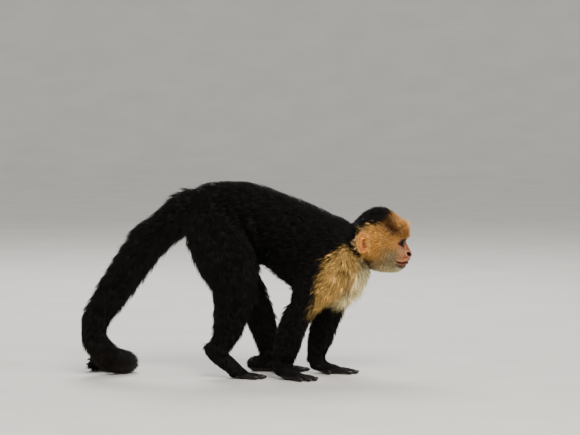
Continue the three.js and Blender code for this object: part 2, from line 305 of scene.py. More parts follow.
def head_colours(face):
    """The colour of the head's hair, by place from the point between the eyes, with painted shade along the
    brow's lower edge and under the jaw's rear.
    """
    x, z = face[:, 0], face[:, 2]
    side = face[:, [0, 2]]
    patch = side - (-10, 24)
    patch = np.stack([patch @ (0.85, -0.53), patch @ (0.53, 0.85)], axis=1)
    coats = (
        ("cheek", smooth(-42, -18, x) * smooth(-2, -20, z)),
        ("cheek", 0.85 * smooth(-18, -33, z)),
        ("russet", 0.3 * bump(side - (-24, -7), (12, 12))),
        ("pale_tip", 0.8 * smooth(9, 21, x + 0.25 * z - 6)),
        ("pale_tip", 0.85 * bump(side - (-71, 25), (12, 5))),
        ("russet", 0.85 * bump(patch, (19, 12))),
        ("brow", 0.95 * np.minimum(1, 1.25 * bump(patch + (3, 0), (15, 8)))),
        ("brow", 0.8 * bump(side - (-18, 37), (10, 8))),
        ("russet", 0.6 * bump(side - (-3, 40), (12, 12))),
        # Painted shade on the hair along the brow's lower edge.
        ("brow", 0.9 * bump(mirrored(face) - (19, 8, 6.5), (10, 11, 2.6))),
        ("cream", 0.85 * smooth(-36, -45, z)),
        ("chin", 0.8 * smooth(-12, -2, x) * ridge(z + 39, 4)),
        # Painted shade under the jaw's rear, where the head shades it.
        ("throat", 0.95 * smooth(-40, -52, x + 0.3 * (z + 30)) * smooth(-19, -27, z)),
        ("black", cap_share(face)),
    )
    return painted(np.tile(TONE["gold"], (len(face), 1)), coats)


def markings(points, nodes):
    """The coat's colour at each point, in linear light, with painted shade on the throat under the head."""
    face = points - FACE
    black = mix(TONE["black"], TONE["brown_black"], 0.4 * smooth(120, 20, points[:, 2]))
    pale = mix(TONE["mantle"], TONE["cream"], cream_share(points))
    # Painted shade on the throat, where the head shades it.
    pale = mix(pale, TONE["throat"], 0.95 * bump(points - (201, MID_Y, 194), (23, 90, 17)))
    body = mix(black, pale, mantle_share(points))
    on_ear = on(nodes, "ear")
    wisps = np.maximum(0.2 * on_ear, 0.9 * (on_ear * smooth(-66, -72, face[:, 0])))
    head = mix(head_colours(face), TONE["wisp"], wisps)
    return mix(mix(body, head, on(nodes, "head", "ear")), TONE["black"], on(nodes, "hand", "foot"))


# Where the coat lies closer than the solids: the nodes, how much closer in millimetres, and the middle and
# radii of the place.
TRIMS = (
    (("right_upper_arm", "right_forearm"), 8, (74, -45, 134), (14, 30, 20)),  # behind the right elbow
    (("left_thigh", "left_shank"), 5, (44, 60, 133), (14, 30, 24)),  # on the left knee's front
    (("left_thigh", "left_shank"), 11, (33, 60, 177), (22, 34, 19)),  # on the left thigh's front
    (TRUNK, 5, (64, MID_Y, 156), (50, 45, 14)),  # under the belly
    (TRUNK, 13, (26, MID_Y, 174), (24, 60, 17)),  # where the belly meets the thighs
    (("right_foot",), 7, (-76, -34, 36), (9, 24, 15)),  # behind the right heel
    (("tail_root",), 8, (-150, MID_Y, 288), (44, 40, 32)),  # on top of the tail's root
)


def trimmed(points, nodes):
    """How much closer the coat lies than the solids at each point, in millimetres."""
    trim = np.zeros(len(points))
    for names, depth, place, radii in TRIMS:
        trim += depth * on(nodes, *names) * bump(points - place, radii)
    return np.where(on(nodes, "left_thigh", "left_shank"), trim * smooth(10, 25, points[:, 0]), trim)


def coat_depth(points, nodes):
    """The coat's depth at each point, in millimetres."""
    depth = by_node(COAT_DEPTH_MM, nodes)
    face = points - FACE
    bare = bare_face(face)
    thin = smooth(-45, 2, face[:, 0]) * smooth(26, 6, face[:, 2])
    on_head = on(nodes, "head")
    depth = np.where(on(nodes, "hand", "foot"), depth + 1.6 * smooth(9, 18, points[:, 2]), depth)
    depth = np.where(on_head, depth * (1 - 0.8 * thin), depth)
    return np.where(on_head, depth * (1 - bare) + 0.25 * bare, depth)


def lie_of_hair(points, normals, nodes):
    """The direction in which the hair lies at each point: a unit vector along the skin."""
    lie = np.zeros((len(points), 3))
    for line in LINES:
        chosen = on(nodes, *(n for n in FLESH if line_of(n) == line))
        if chosen.any():
            lie[chosen] = follow(points[chosen], line)[1]
    down = np.array((0.0, 0.0, -1.0))
    flank = np.abs(normals[:, 1]) * 0.55 + 0.35 * smooth(0.2, -0.8, normals[:, 2])
    lie = np.where(on(nodes, *TRUNK)[:, None], lie + down * flank[:, None], lie)
    lie = lie + down * 1.7 * (on(nodes, "foot") * smooth(8, 22, points[:, 2]))[:, None]
    parting = np.zeros((len(points), 3))
    forward = smooth(0.3, 0.8, normals[:, 0])
    parting[:, 0] = np.tanh((points[:, 0] - 166) / 8) * 0.9 * (1 - forward) - 0.4 * forward
    parting[:, 2] = -0.65
    lie = mix(lie, parting, mantle_share(points))
    face = points - FACE
    outward = unit(face - (16, 0, -2))
    outward[:, 2] -= 0.45 * smooth(0, -20, face[:, 2])
    return along_skin(np.where(on(nodes, "head", "ear")[:, None], outward, lie), normals)


def along_skin(vectors, normals):
    """Vectors laid into the skin's plane and made one long."""
    return unit(vectors - normals * np.sum(vectors * normals, axis=1)[:, None])


# ---------------------------------------------------------------- mesh tools
def read(items, key, width, kind=np.float32):
    """What a mesh's items have under a key, one row for each item."""
    flat = np.empty(len(items) * width, kind)
    items.foreach_get(key, flat)
    return flat.reshape(-1, width)


def read_points(mesh):
    """A mesh's vertices, in millimetres."""
    return read(mesh.vertices, "co", 3).astype(float) / MM


def write_points(mesh, points):
    mesh.vertices.foreach_set("co", (points * MM).astype(np.float32).ravel())
    mesh.update()


def read_normals(mesh):
    return read(mesh.vertex_normals, "vector", 3).astype(float)


class Net:
    """The edges of a mesh, along which values are evened out."""

    def __init__(self, mesh):
        self.tail, self.head = read(mesh.edges, "vertices", 2, np.int32).T
        self.size = len(mesh.vertices)
        count = np.bincount(self.tail, minlength=self.size) + np.bincount(self.head, minlength=self.size)
        self.count = np.maximum(count, 1)

    def mean(self, values):
        """For each vertex, the mean of its neighbours' values."""
        if values.ndim == 1:
            total = np.bincount(self.tail, values[self.head], self.size)
            total += np.bincount(self.head, values[self.tail], self.size)
            return total / self.count
        return np.stack([self.mean(column) for column in values.T], axis=1)

    def even(self, values, rounds, share=0.5):
        """Values evened out over their neighbours, for a number of rounds or one for each vertex."""
        rounds = np.broadcast_to(rounds, (self.size,))
        for turn in range(int(rounds.max())):
            step = share * np.clip(rounds - turn, 0, 1)
            step = step if values.ndim == 1 else step[:, None]
            values = values + step * (self.mean(values) - values)
        return values


def solids_tree():
    """A search tree over the solids' faces, and the number of each face's node."""
    corners, faces, owners = [], [], []
    for number, node in enumerate(FLESH):
        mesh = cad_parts[node].data
        start = len(corners)
        corners += [tuple(v.co) for v in mesh.vertices]
        faces += [[start + i for i in face.vertices] for face in mesh.polygons]
        owners += [number] * len(mesh.polygons)
    return BVHTree.FromPolygons(corners, faces), np.array(owners)


def nearest_nodes(points):
    """The number of the solid that is nearest to each point."""
    tree, owners = solids_tree()
    return owners[[tree.find_nearest(Vector(p * MM))[2] for p in points]]


def new_object(name, data):
    thing = bpy.data.objects.new(name, data)
    bpy.context.scene.collection.objects.link(thing)
    return thing


def mesh_from(shape, name):
    """Makes a mesh of an edit mesh, and frees that."""
    mesh = bpy.data.meshes.new(name)
    shape.to_mesh(mesh)
    shape.free()
    return mesh


def paint(mesh, name, colours):
    """Stores a colour for each vertex."""
    layer = mesh.color_attributes.get(name) or mesh.color_attributes.new(name, "FLOAT_COLOR", "POINT")
    solid = np.concatenate([colours, np.ones((len(colours), 1))], axis=1)
    layer.data.foreach_set("color", solid.astype(np.float32).ravel())


def shade_smooth(mesh):
    mesh.polygons.foreach_set("use_smooth", np.ones(len(mesh.polygons), bool))


def smooth_object(name, shape, material):
    """A smooth object of an edit mesh, in one material."""
    mesh = mesh_from(shape, name)
    shade_smooth(mesh)
    mesh.materials.append(material)
    return new_object(name, mesh)


def applied(thing, kind, **settings):
    """Adds one modifier to an object and applies it."""
    modifier = thing.modifiers.new(kind.title(), kind)
    for key, value in settings.items():
        setattr(modifier, key, value)
    graph = bpy.context.evaluated_depsgraph_get()
    mesh = bpy.data.meshes.new_from_object(thing.evaluated_get(graph))
    thing.modifiers.clear()
    old = thing.data
    thing.data = mesh
    bpy.data.meshes.remove(old)


# ---------------------------------------------------------------- skin
def joined_solids(overlap):
    """All the solids of flesh and eyes as one mesh, each grown until it runs into its neighbours."""
    whole = bmesh.new()
    for node in FLESH + EYES:
        part = bmesh.new()
        part.from_mesh(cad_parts[node].data)
        bmesh.ops.remove_doubles(part, verts=part.verts, dist=1e-6)
        part.normal_update()
        for vertex in part.verts:
            vertex.co += vertex.normal * overlap
        mesh = mesh_from(part, node)
        whole.from_mesh(mesh)
        bpy.data.meshes.remove(mesh)
    return mesh_from(whole, "skin")


def shrink_to_skin(mesh):
    """Evens out the facets of the solids and draws the surface in by the coat's depth."""
    net = Net(mesh)
    points = read_points(mesh)
    nodes = nearest_nodes(points)
    rounds = by_node(EVENING, nodes)
    rounds = np.where(on(nodes, "head"), rounds * (1 - 0.55 * bare_face(points - FACE)), rounds)
    points = net.even(points, net.even(rounds, 12))
    write_points(mesh, points)
    depth = net.even(coat_depth(points, nodes) + trimmed(points, nodes), 14)
    points = points - read_normals(mesh) * depth[:, None]
    points = net.even(points, np.clip(depth - 1.5, 0, 5) * 2)
    write_points(mesh, points)


def thin_out(thing, kept_share):
    """Fewer faces where the coat hides the skin, and all of them on head, ears, hands and feet."""
    nodes = nearest_nodes(read_points(thing.data))
    covered = np.flatnonzero(~on(nodes, "head", "ear", "hand", "foot"))
    group = thing.vertex_groups.new(name="covered")
    group.add(covered.tolist(), 1.0, "REPLACE")
    applied(thing, "DECIMATE", ratio=kept_share, vertex_group="covered")
    thing.vertex_groups.clear()


def refine(mesh, wanted):
    """Halves the edges wherever both ends are in a wanted place."""
    whole = bmesh.new()
    whole.from_mesh(mesh)
    chosen = wanted(np.array([v.co for v in whole.verts]) / MM)
    edges = [e for e in whole.edges if chosen[e.verts[0].index] and chosen[e.verts[1].index]]
    bmesh.ops.subdivide_edges(whole, edges=edges, cuts=1, use_grid_fill=True)
    bmesh.ops.triangulate(whole, faces=[f for f in whole.faces if len(f.verts) > 4])
    whole.to_mesh(mesh)
    whole.free()


def near_face(points):
    face = points - FACE
    return (face[:, 0] > -16) & (face[:, 2] > -46) & (face[:, 2] < 14)


def near_eyes(points, margin):
    """Whether points are less than a margin, in millimetres, from either eye."""
    distances = [np.linalg.norm(points - EYE_MIDDLES[side], axis=1) for side in SIDES]
    return np.min(distances, axis=0) < EYE_RADIUS_MM + margin


def near_features(points):
    face = points - FACE
    nose = (face[:, 0] > 8) & (np.abs(face[:, 2] + 19) < 9)
    mouth = (face[:, 0] > -9) & (np.abs(face[:, 2] + 32.5) < 5)
    return near_eyes(points, 4) | nose | mouth


def mouth_height(x):
    """The height of the line between the lips, by the place ahead of the eyes."""
    return -34 + 2.4 * (1 - ridge(x - 6, 8))


def nostril(place):
    """How far a mirrored place is from the middle of the slanted nostril, as a share of its half width."""
    offset = place - (16.7, 11.0, -19.0)
    along = offset @ (0.8, 0, -0.6)
    over = offset @ (0.6, 0, 0.8)
    return np.sqrt((along / 4.5) ** 2 + (over / 2.8) ** 2 + (offset[:, 1] / 5) ** 2)


def nostril_share(points):
    """1 inside either nostril, before the face is pushed into shape."""
    return smooth(1.15, 0.9, nostril(mirrored(points - FACE)))


def lips_share(x):
    """1 along the lips, fading at the corner of the mouth."""
    return smooth(-7, -2, x)


FOLD_MM = 4.6  # from one fold of the muzzle to the next


def muzzle_folds(place, radii):
    """The fine folds of the muzzle: a wave between -1 and 1 that fades with the distance."""
    wave = np.sin((place[:, 0] * 0.9 - place[:, 2] * 0.4) * (math.tau / FOLD_MM))
    return wave * bump(place - (7, 14, -18), radii)


# The forms of the bare face: how far each one stands out, in millimetres, its middle and its radii. Those
# beside the middle plane are on both sides.
FACE_FORMS = (
    (1.4, (17, 9, 11), (9, 8, 4.5)),  # brow
    (2.4, (17, 4, 6), (7, 9, 3.6)),  # under the brow, over the bridge of the nose
    (-1.6, (11, 4.5, 1), (6, 3.4, 5)),  # beside the bridge of the nose
    (1.0, (8, 17, -11), (8, 7, 5)),  # cheekbone
    (-0.8, (9, 14, -10), (7, 6, 1.8)),  # crease under the eye
    (1.5, (15, 8.5, -18), (6.5, 4.2, 5)),  # nostril wing
    (1.5, (22, 0, -21), (8, 7, 7)),  # tip of the nose and upper lip
    (-0.9, (22, 0, -19), (6, 1.5, 6)),  # groove between the nostrils
    (-1.3, (11, 13.5, -25), (7, 6, 2.0)),  # fold from nostril to cheek
)
# The forms along the mouth: how far each one stands out, how high it is over its line, and its width.
LIP_FORMS = ((1.0, 2.4, 1.9), (1.3, -2.4, 1.8), (-2.8, 0, 0.75), (-1.0, -6.2, 1.6))


def shape_face(points, normals):
    """Pushes the bare face into shape: brow, sockets, nose, nostrils, lips and cheeks."""
    place = mirrored(points - FACE)
    x, _, z = place.T
    push = np.zeros(len(points))
    for height, spot, radii in FACE_FORMS:
        push += height * bump(place - spot, radii)
    push += 0.34 * muzzle_folds(place, (8, 9, 10))
    for height, over, width in LIP_FORMS:
        push += lips_share(x) * height * ridge(z - mouth_height(x) - over, width)
    push += 0.8 * bump(place - (10, 0, -41), (7, 8, 4))  # chin
    from_hole = nostril(place)
    push += 0.9 * ridge(from_hole - 1.35, 0.4)  # the nostril's raised rim
    push -= 4.6 * smooth(1.0, 0.45, from_hole)
    return points + normals * push[:, None]


def ear_place(points, side):
    """Where points lie on an ear: ahead and up from its middle, as shares of its half size."""
    low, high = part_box(f"{side}_ear")
    offset = points - middle(f"{side}_ear")
    return offset[:, 0] / ((high.x - low.x) / 2 / MM), offset[:, 2] / ((high.z - low.z) / 2 / MM)


def ear_hollow(points, nodes, normals):
    """How deep the ear's hollow is at each point, from 0 to 1, and where its rolled rim is."""
    hollow, rim = np.zeros(len(points)), np.zeros(len(points))
    for side in SIDES:
        ahead, up = ear_place(points, side)
        across = np.hypot(ahead - 0.12, up * 1.02)
        own = on(nodes, f"{side}_ear") * smooth(0.1, 0.5, normals[:, 1] * OUTER[side])
        bowl = smooth(0.52, 0.3, np.hypot((ahead - 0.3) * 1.1, up + 0.12))
        groove = ridge(across - 0.66, 0.12) * smooth(0.7, 0.2, ahead)
        hollow += own * np.maximum(bowl, 0.4 * groove)
        rim += own * ridge(across - 0.93, 0.13) * smooth(0.75, 0.3, ahead)
    return hollow, rim


def eye_axes(side):
    """An eye's gaze, its outer side and its up, as unit vectors."""
    gaze = np.array((math.cos(0.2), OUTER[side] * math.sin(0.2), -0.06))
    gaze /= np.linalg.norm(gaze)
    across = np.cross((0, 0, 1), gaze) * OUTER[side]
    across /= np.linalg.norm(across)
    return gaze, across, np.cross(gaze, across) * OUTER[side]


INNER_CORNER, OUTER_CORNER = -52, 68  # where the lids meet, in degrees from the gaze


def lid_opening(spot, side):
    """How far inside the opening of the lids a place round an eye is: in millimetres, negative outside."""
    gaze, across, up = eye_axes(side)
    out = np.degrees(np.arctan2(spot @ across, spot @ gaze))
    rise = np.degrees(np.arcsin(np.clip(spot @ up / (np.linalg.norm(spot, axis=1) + TINY), -1, 1)))
    t = np.clip((out - INNER_CORNER) / (OUTER_CORNER - INNER_CORNER), 0, 1)
    arch = np.sin(math.pi * t ** 0.9)
    top = -6 + 27 * arch ** 0.75 + 6 * t
    bottom = -6 - 21 * arch ** 0.8 + 6 * t
    inside = np.minimum(top - rise, rise - bottom)
    inside = np.where(out > OUTER_CORNER, -np.hypot(out - OUTER_CORNER, rise), inside)
    inside = np.where(out < INNER_CORNER, -np.hypot(INNER_CORNER - out, rise + 6), inside)
    return np.radians(inside) * EYE_RADIUS_MM


def round_the_lids(points):
    """1 on the skin just outside the lids, where it has to run smoothly into them."""
    share = np.zeros(len(points))
    for side in SIDES:
        spot = points - EYE_MIDDLES[side]
        close = smooth(8, 6, np.linalg.norm(spot, axis=1) - EYE_RADIUS_MM)
        share = np.maximum(share, close * smooth(-1.4, -2.6, lid_opening(spot, side)))
    return share


def shape_lids(points):
    """Lays the skin over each eye as lids, and opens it between them."""
    points = points.copy()
    for side in SIDES:
        spot = points - EYE_MIDDLES[side]
        distance = np.linalg.norm(spot, axis=1)
        inside = lid_opening(spot, side)
        lid = EYE_RADIUS_MM + 0.7 + 0.5 * ridge(inside + 1.0, 0.8)
        lid -= 0.3 * ridge(inside + 3.2, 0.7)
        sunk = EYE_RADIUS_MM - 3.0
        share = smooth(-0.15, 0.45, inside)
        wanted = lid * (1 - share) + sunk * share
        hold = smooth(4.5, 1.5, distance - EYE_RADIUS_MM) * smooth(-4.5, -1.5, inside)
        hold = np.maximum(hold, smooth(0.1, -0.5, distance - lid))
        hold = np.where(inside > -0.2, smooth(5.5, 4.5, distance - EYE_RADIUS_MM), hold)
        reach = distance + hold * (wanted - distance)
        points += spot / distance[:, None] * (reach - distance)[:, None]
    return points


def face_colours(points, tint, hole):
    """Paints the bare skin of the face: lids, nose and lips, with painted shade in the nostrils, in the
    mouth's gap, in the creases and under the brow, and painted highlights on rims, folds and under the eyes.
    """
    place = mirrored(points - FACE)
    x, _, z = place.T
    folds = muzzle_folds(place, (9, 9, 11))
    gap = z - mouth_height(x)
    lips = lips_share(x)
    under_brow = (place - (14, 9, 6.5)) @ np.array([(0.9, 0, -0.43), (0, 1, 0), (0.43, 0, 0.9)])
    coats = [
        ("nose_skin", 0.8 * bump(place - (20, 4, -16), (9, 10, 9))),
        ("cheek", 0.45 * bump(place - (4, 18, -14), (9, 8, 10))),
        # Painted shade in the creases of the muzzle's folds, and painted highlight on their ridges.
        ("lip", np.clip(0.7 * -folds, 0, 1)),
        ("skin_highlight", np.clip(0.4 * folds, 0, 1)),
        # Painted shade in the fold from nostril to cheek and in the crease under the eye.
        ("lip", 0.6 * bump(place - (11, 13.5, -25), (8, 6, 1.8))),
        ("lip", 0.6 * bump(place - (6, 16, -8.5), (7, 6, 1.6))),
        # Painted highlights under the eye, on the nostrils' rims and along the upper lip's rim.
        ("skin_highlight", 0.6 * bump(place - (7, 15, -5.5), (6, 6, 2.4))),
        ("skin_highlight", 0.55 * ridge(nostril(place) - 1.5, 0.4)),
        ("skin_highlight", 0.5 * lips * ridge(gap - 4.2, 1.6)),
        ("chin", 0.9 * smooth(-2.6, -4.6, gap) * smooth(-9, -4, x)),
        ("lip", 0.85 * lips * ridge(gap + 0.8, 3.0)),
        # Painted shade in the gap between the lips and inside the nostrils.
        ("inside", lips * ridge(gap, 0.95)),
        ("inside", hole),
        # Painted shade under the brow, from the eye to the brow's front, and over the eye.
        ("lid", 0.95 * np.minimum(1, 1.5 * bump(under_brow, (9, 12, 2.6)))),
        ("lid", 0.8 * bump(place - (6, 15, 6), (8, 7, 2.2))),
    ]
    for side in SIDES:
        spot = points - EYE_MIDDLES[side]
        close = smooth(5, 3, np.linalg.norm(spot, axis=1) - EYE_RADIUS_MM)
        coats.append(("lid", 0.97 * close * smooth(-4.2, -1.8, lid_opening(spot, side))))
    skin = painted(np.tile(TONE["face_skin"], (len(points), 1)), coats)
    return mix(tint, skin, bare_face(points - FACE))


def skin_colours(mesh, points, nodes, hole):
    """The skin's colour: its own, dark under the dark coat, paler under the mantle and bare on face and
    hands, with painted shade in the ears' hollows and painted shade and highlights on the face.
    """
    net = Net(mesh)
    hollow, _ = ear_hollow(points, nodes, read_normals(mesh))
    coats = (
        ("hand_skin", net.even(on(nodes, "hand", "foot").astype(float), 4)),
        ("ear_skin", net.even(on(nodes, "ear").astype(float), 3)),
        # Painted shade in the ears' hollows, as deep as the hollow.
        ("ear_hollow", np.minimum(0.85, 1.6 * hollow)),
    )
    tint = painted(markings(points, nodes) * 0.4, coats)
    return np.where(on(nodes, "head")[:, None], face_colours(points, tint, hole), tint)


def near_ears(points):
    """On the outer side of either ear."""
    close = np.zeros(len(points), bool)
    for side in SIDES:
        ahead, up = ear_place(points, side)
        outer = (points[:, 1] - middle(f"{side}_ear")[1]) * OUTER[side]
        close |= (np.abs(ahead) < 1) & (np.abs(up) < 1) & (outer > -4)
    return close


def build_skin(settings):
    skin = new_object("skin", joined_solids(settings.overlap))
    applied(skin, "REMESH", mode="VOXEL", voxel_size=settings.grain, adaptivity=0)
    shrink_to_skin(skin.data)
    thin_out(skin, settings.kept_share)
    refine(skin.data, near_face)
    refine(skin.data, near_features)
    refine(skin.data, near_ears)
    mesh = skin.data
    net = Net(mesh)
    points = read_points(mesh)
    points = net.even(points, np.where(near_face(points) | near_ears(points), 5, 0))
    write_points(mesh, points)
    nodes = nearest_nodes(points)
    normals = read_normals(mesh)
    hollow, rim = ear_hollow(points, nodes, normals)
    hole = nostril_share(points)
    points = shape_face(points, normals) + normals * (0.7 * rim - 2.0 * hollow)[:, None]
    points = net.even(points, np.where(near_features(points), 1, 0))
    for _ in range(4):
        points = shape_lids(net.even(points, 8 * round_the_lids(points)))
    write_points(mesh, points)
    shade_smooth(mesh)
    paint(mesh, "Tint", skin_colours(mesh, points, nodes, hole))
    region = mesh.attributes.new("Region", "INT", "POINT")
    region.data.foreach_set("value", nodes.astype(np.int32))
    return skin


# ---------------------------------------------------------------- materials
def add_node(tree, kind, inputs=None, **settings):
    """Adds a shader node; each of its inputs is given a value, or is linked to another node's output."""
    node = tree.nodes.new("ShaderNode" + kind)
    for key, value in settings.items():
        setattr(node, key, value)
    for key, value in (inputs or {}).items():
        if isinstance(value, bpy.types.NodeSocket):
            tree.links.new(value, node.inputs[key])
        else:
            node.inputs[key].default_value = value
    return node


def made(tree, kind, inputs=None, **settings):
    """The first output of a new shader node."""
    return add_node(tree, kind, inputs, **settings).outputs[0]


def noise(tree, place, scale, detail):
    """Soft noise over a place, with its scale in the metre."""
    return made(tree, "TexNoise", {"Scale": scale, "Detail": detail, "Vector": place})


def ranged(tree, value, source, result):
    """A value brought from one range to another."""
    ends = dict(zip(("From Min", "From Max", "To Min", "To Max"), source + result))
    return made(tree, "MapRange", {**ends, "Value": value})


def vector_math(tree, operation, first, second):
    return made(tree, "VectorMath", {0: first, 1: second}, operation=operation)


def mottled(tree, colour, place, scale, detail, result):
    """A colour that noise makes darker and lighter, within a range of factors."""
    factors = ranged(tree, noise(tree, place, scale, detail), (0.3, 0.7), result)
    return vector_math(tree, "MULTIPLY", colour, factors)


def empty_material(name):
    material = bpy.data.materials.new(name)
    material.use_nodes = True
    tree = material.node_tree
    tree.nodes.clear()
    return material, tree, add_node(tree, "TexCoord").outputs["Object"]


def finished(material, inputs):
    """Gives a material its surface, and returns it."""
    surface = made(material.node_tree, "BsdfPrincipled", inputs)
    add_node(material.node_tree, "OutputMaterial", {"Surface": surface})
    return material


def skin_material():
    """Thin primate skin: soft, a little moist, with fine creases every millimetre or so."""
    material, tree, place = empty_material("capuchin_skin")
    tint = made(tree, "Attribute", attribute_name="Tint")
    cracks = {"Scale": 850.0, "Randomness": 1.0, "Vector": place}
    creases = made(tree, "TexVoronoi", cracks, feature="DISTANCE_TO_EDGE")
    relief = made(tree, "Math", {0: creases, 1: noise(tree, place, 1500.0, 3.0)}, operation="ADD")
    inputs = {
        "Base Color": mottled(tree, tint, place, 260.0, 4.0, (0.72, 1.22)),
        "Normal": made(tree, "Bump", {"Strength": 0.35, "Distance": 0.0006, "Height": relief}),
        "Roughness": 0.5,
        "IOR": 1.4,
        "Specular IOR Level": 0.28,
        "Subsurface Weight": 0.1,
        "Subsurface Scale": 0.003,
    }
    return finished(material, inputs)


def hair_material():
    """Monkey hair: keratin, so a soft glint along each lock and no deep gloss."""
    material, tree, place = empty_material("capuchin_hair")
    tint = made(tree, "Attribute", attribute_name="Tint")
    colour = mottled(tree, tint, place, 90.0, 3.0, (0.8, 1.18))
    inputs = {"Base Color": colour, "Roughness": 0.46, "IOR": 1.55, "Specular IOR Level": 0.16}
    return finished(material, inputs)


IRIS_REACH = 0.0082  # how far out from the gaze the eye's colours run, in metres
# The eye's colours, from the middle of the pupil outward, by share of that reach.
EYE_STOPS = (
    (0.0, "#020101"), (0.29, "#020101"), (0.33, "#140904"),
    (0.55, "#1c0d06"), (0.66, "#080402"), (0.8, "#120b08"),
)


def eye_material(side):
    """A dark brown eye: pupil, streaked iris and brown white under a wet, clear front."""
    material, tree, place = empty_material(f"{side}_eye")
    turn = Vector(eye_axes(side)[0]).rotation_difference(Vector((0, 0, 1))).to_euler()
    centred = vector_math(tree, "SUBTRACT", place, tuple(EYE_MIDDLES[side] * MM))
    turned = made(tree, "Mapping", {"Rotation": turn, "Vector": centred})
    flat = vector_math(tree, "MULTIPLY", turned, (1.0, 1.0, 0.0))
    radius = add_node(tree, "VectorMath", {0: flat}, operation="LENGTH").outputs["Value"]
    share = ranged(tree, radius, (0.0, IRIS_REACH), (0.0, 1.0))
    ramp = add_node(tree, "ValToRGB", {"Fac": share})
    while len(ramp.color_ramp.elements) < len(EYE_STOPS):
        ramp.color_ramp.elements.new(0.5)
    for element, (position, code) in zip(ramp.color_ramp.elements, EYE_STOPS):
        element.position = position
        element.color = (*linear(code), 1)
    streaks = ranged(tree, noise(tree, turned, 900.0, 2.0), (0.0, 1.0), (0.7, 1.3))
    inputs = {
        "Base Color": vector_math(tree, "MULTIPLY", ramp.outputs["Color"], streaks),
        "Roughness": 0.2,
        "IOR": 1.38,
        "Specular IOR Level": 0.04,
        "Coat Weight": 0.08,
        "Coat Roughness": 0.03,
    }
    return finished(material, inputs)


def plain_material(name, code, roughness, scale):
    """One colour with a soft mottle of a given scale in the metre."""
    material, tree, place = empty_material(name)
    shade = ranged(tree, noise(tree, place, scale, 4.0), (0.0, 1.0), (0.9, 1.1))
    colour = vector_math(tree, "MULTIPLY", shade, linear(code))
    return finished(material, {"Base Color": colour, "Roughness": roughness})


# ---------------------------------------------------------------- eyes and nails
def build_eye(side):
    """A smooth ball with the clear front's swelling."""
    shape = bmesh.new()
    bmesh.ops.create_uvsphere(shape, u_segments=48, v_segments=32, radius=EYE_RADIUS_MM * MM)
    gaze = Vector(eye_axes(side)[0])
    for vertex in shape.verts:
        ahead = vertex.co.normalized().dot(gaze)
        vertex.co *= 1 + 0.05 * float(smooth(0.72, 1.0, ahead))
    bmesh.ops.translate(shape, verts=shape.verts, vec=Vector(EYE_MIDDLES[side] * MM))
    return smooth_object(f"{side}_eyeball", shape, eye_material(side))


# The plans of hand and foot, in millimetres and radians: how far ahead the knuckles are, how far they spread
# and fan out, the longest digit, and the thumb's place ahead and aside, its turn, length and radius.
HAND_PLAN = {"knuckle": 38, "spread": 12.5, "fan": 0.24, "longest": 41, "thumb": (14, 11, 0.85, 26, 4.6)}
FOOT_PLAN = {"knuckle": 5, "spread": 12, "fan": 0.2, "longest": 38, "thumb": (-22, 9, 0.6, 34, 5.6)}
DIGIT_SHARES = (0.86, 1, 0.96, 0.8)
DIGIT_RADIUS_MM = 4.2
# Each hand and foot: its plan, the sign of its outer side, its heading and its place on the floor.
ENDS = {
    "right_hand": (HAND_PLAN, -1, -0.7, (59, -39)),
    "left_hand": (HAND_PLAN, 1, -0.18, (120, 45)),
    "right_foot": (FOOT_PLAN, -1, -0.2, (-4, -40)),
    "left_foot": (FOOT_PLAN, 1, 0.08, (70, 73)),
}


def heading_vector(bearing):
    return np.array((math.cos(bearing), math.sin(bearing)))


def digits(node):
    """Each digit of a hand or foot, as its tip, its heading and its radius."""
    plan, side, heading, place = ENDS[node]
    rows = []
    for i, share in enumerate(DIGIT_SHARES):
        off = (i - 1.5) / 1.5
        x = plan["knuckle"] - 3 * off * off
        out, turn = side * off * plan["spread"], side * off * plan["fan"]
        rows.append((x, out, turn, plan["longest"] * share, DIGIT_RADIUS_MM))
    x, out, turn, length, radius = plan["thumb"]
    rows.append((x, -side * out, -side * turn, length, radius))
    found = []
    for x, y, turn, length, radius in rows:
        ahead = heading_vector(heading)
        start = np.array(place) + x * ahead + y * np.array((-ahead[1], ahead[0]))
        found.append((start + length * heading_vector(heading + turn), heading + turn, radius))
    return found


def digit_end(tree, tip, bearing, radius):
    """Where the flesh of a digit ends, and how high its top is just behind that, in metres."""
    heading = Vector((math.cos(bearing), math.sin(bearing), 0))
    ahead = Vector((tip[0], tip[1], radius * 0.6)) * MM + heading * 0.012
    end = tree.ray_cast(ahead, -heading, 0.03)[0] or ahead - heading * 0.014
    top = tree.ray_cast(end - heading * 0.004 + Vector((0, 0, 0.02)), (0, 0, -1), 0.03)[0]
    return end, top.z if top else radius * 2 * MM


def add_nail(shape, end, top, bearing, radius):
    """A small arched plate of horn, seated on the top of a digit's end."""
    made = bmesh.ops.create_grid(shape, x_segments=7, y_segments=7, size=1.0)["verts"]
    long, wide = radius * 0.78, radius * 0.52
    for vertex in made:
        u, v = vertex.co.x, vertex.co.y
        reach = (u - 0.72) * long * (1 - 0.1 * v * v * (u > 0))
        height = 0.5 - 1.2 * v * v - 1.2 * max(u, 0) ** 2 - 1.1 * max(-u - 0.3, 0) ** 2
        vertex.co = Vector((reach, v * wide * (1 - 0.3 * max(u, 0) ** 2), height)) * MM
    faces = list({f for vertex in made for f in vertex.link_faces})
    solid = bmesh.ops.solidify(shape, geom=faces, thickness=0.4 * MM)["geom"]
    verts = {v for f in faces for v in f.verts} | {v for v in solid if isinstance(v, bmesh.types.BMVert)}
    bmesh.ops.rotate(shape, verts=list(verts), cent=(0, 0, 0), matrix=Matrix.Rotation(bearing, 3, "Z"))
    bmesh.ops.translate(shape, verts=list(verts), vec=(end.x, end.y, top))


def build_nails(skin):
    shape = bmesh.new()
    tree = BVHTree.FromObject(skin, bpy.context.evaluated_depsgraph_get())
    for node in ENDS:
        for tip, bearing, radius in digits(node):
            end, top = digit_end(tree, tip, bearing, radius)
            add_nail(shape, end, top, bearing, radius)
    return smooth_object("nails", shape, plain_material("nail_horn", "#2f2622", 0.35, 400.0))


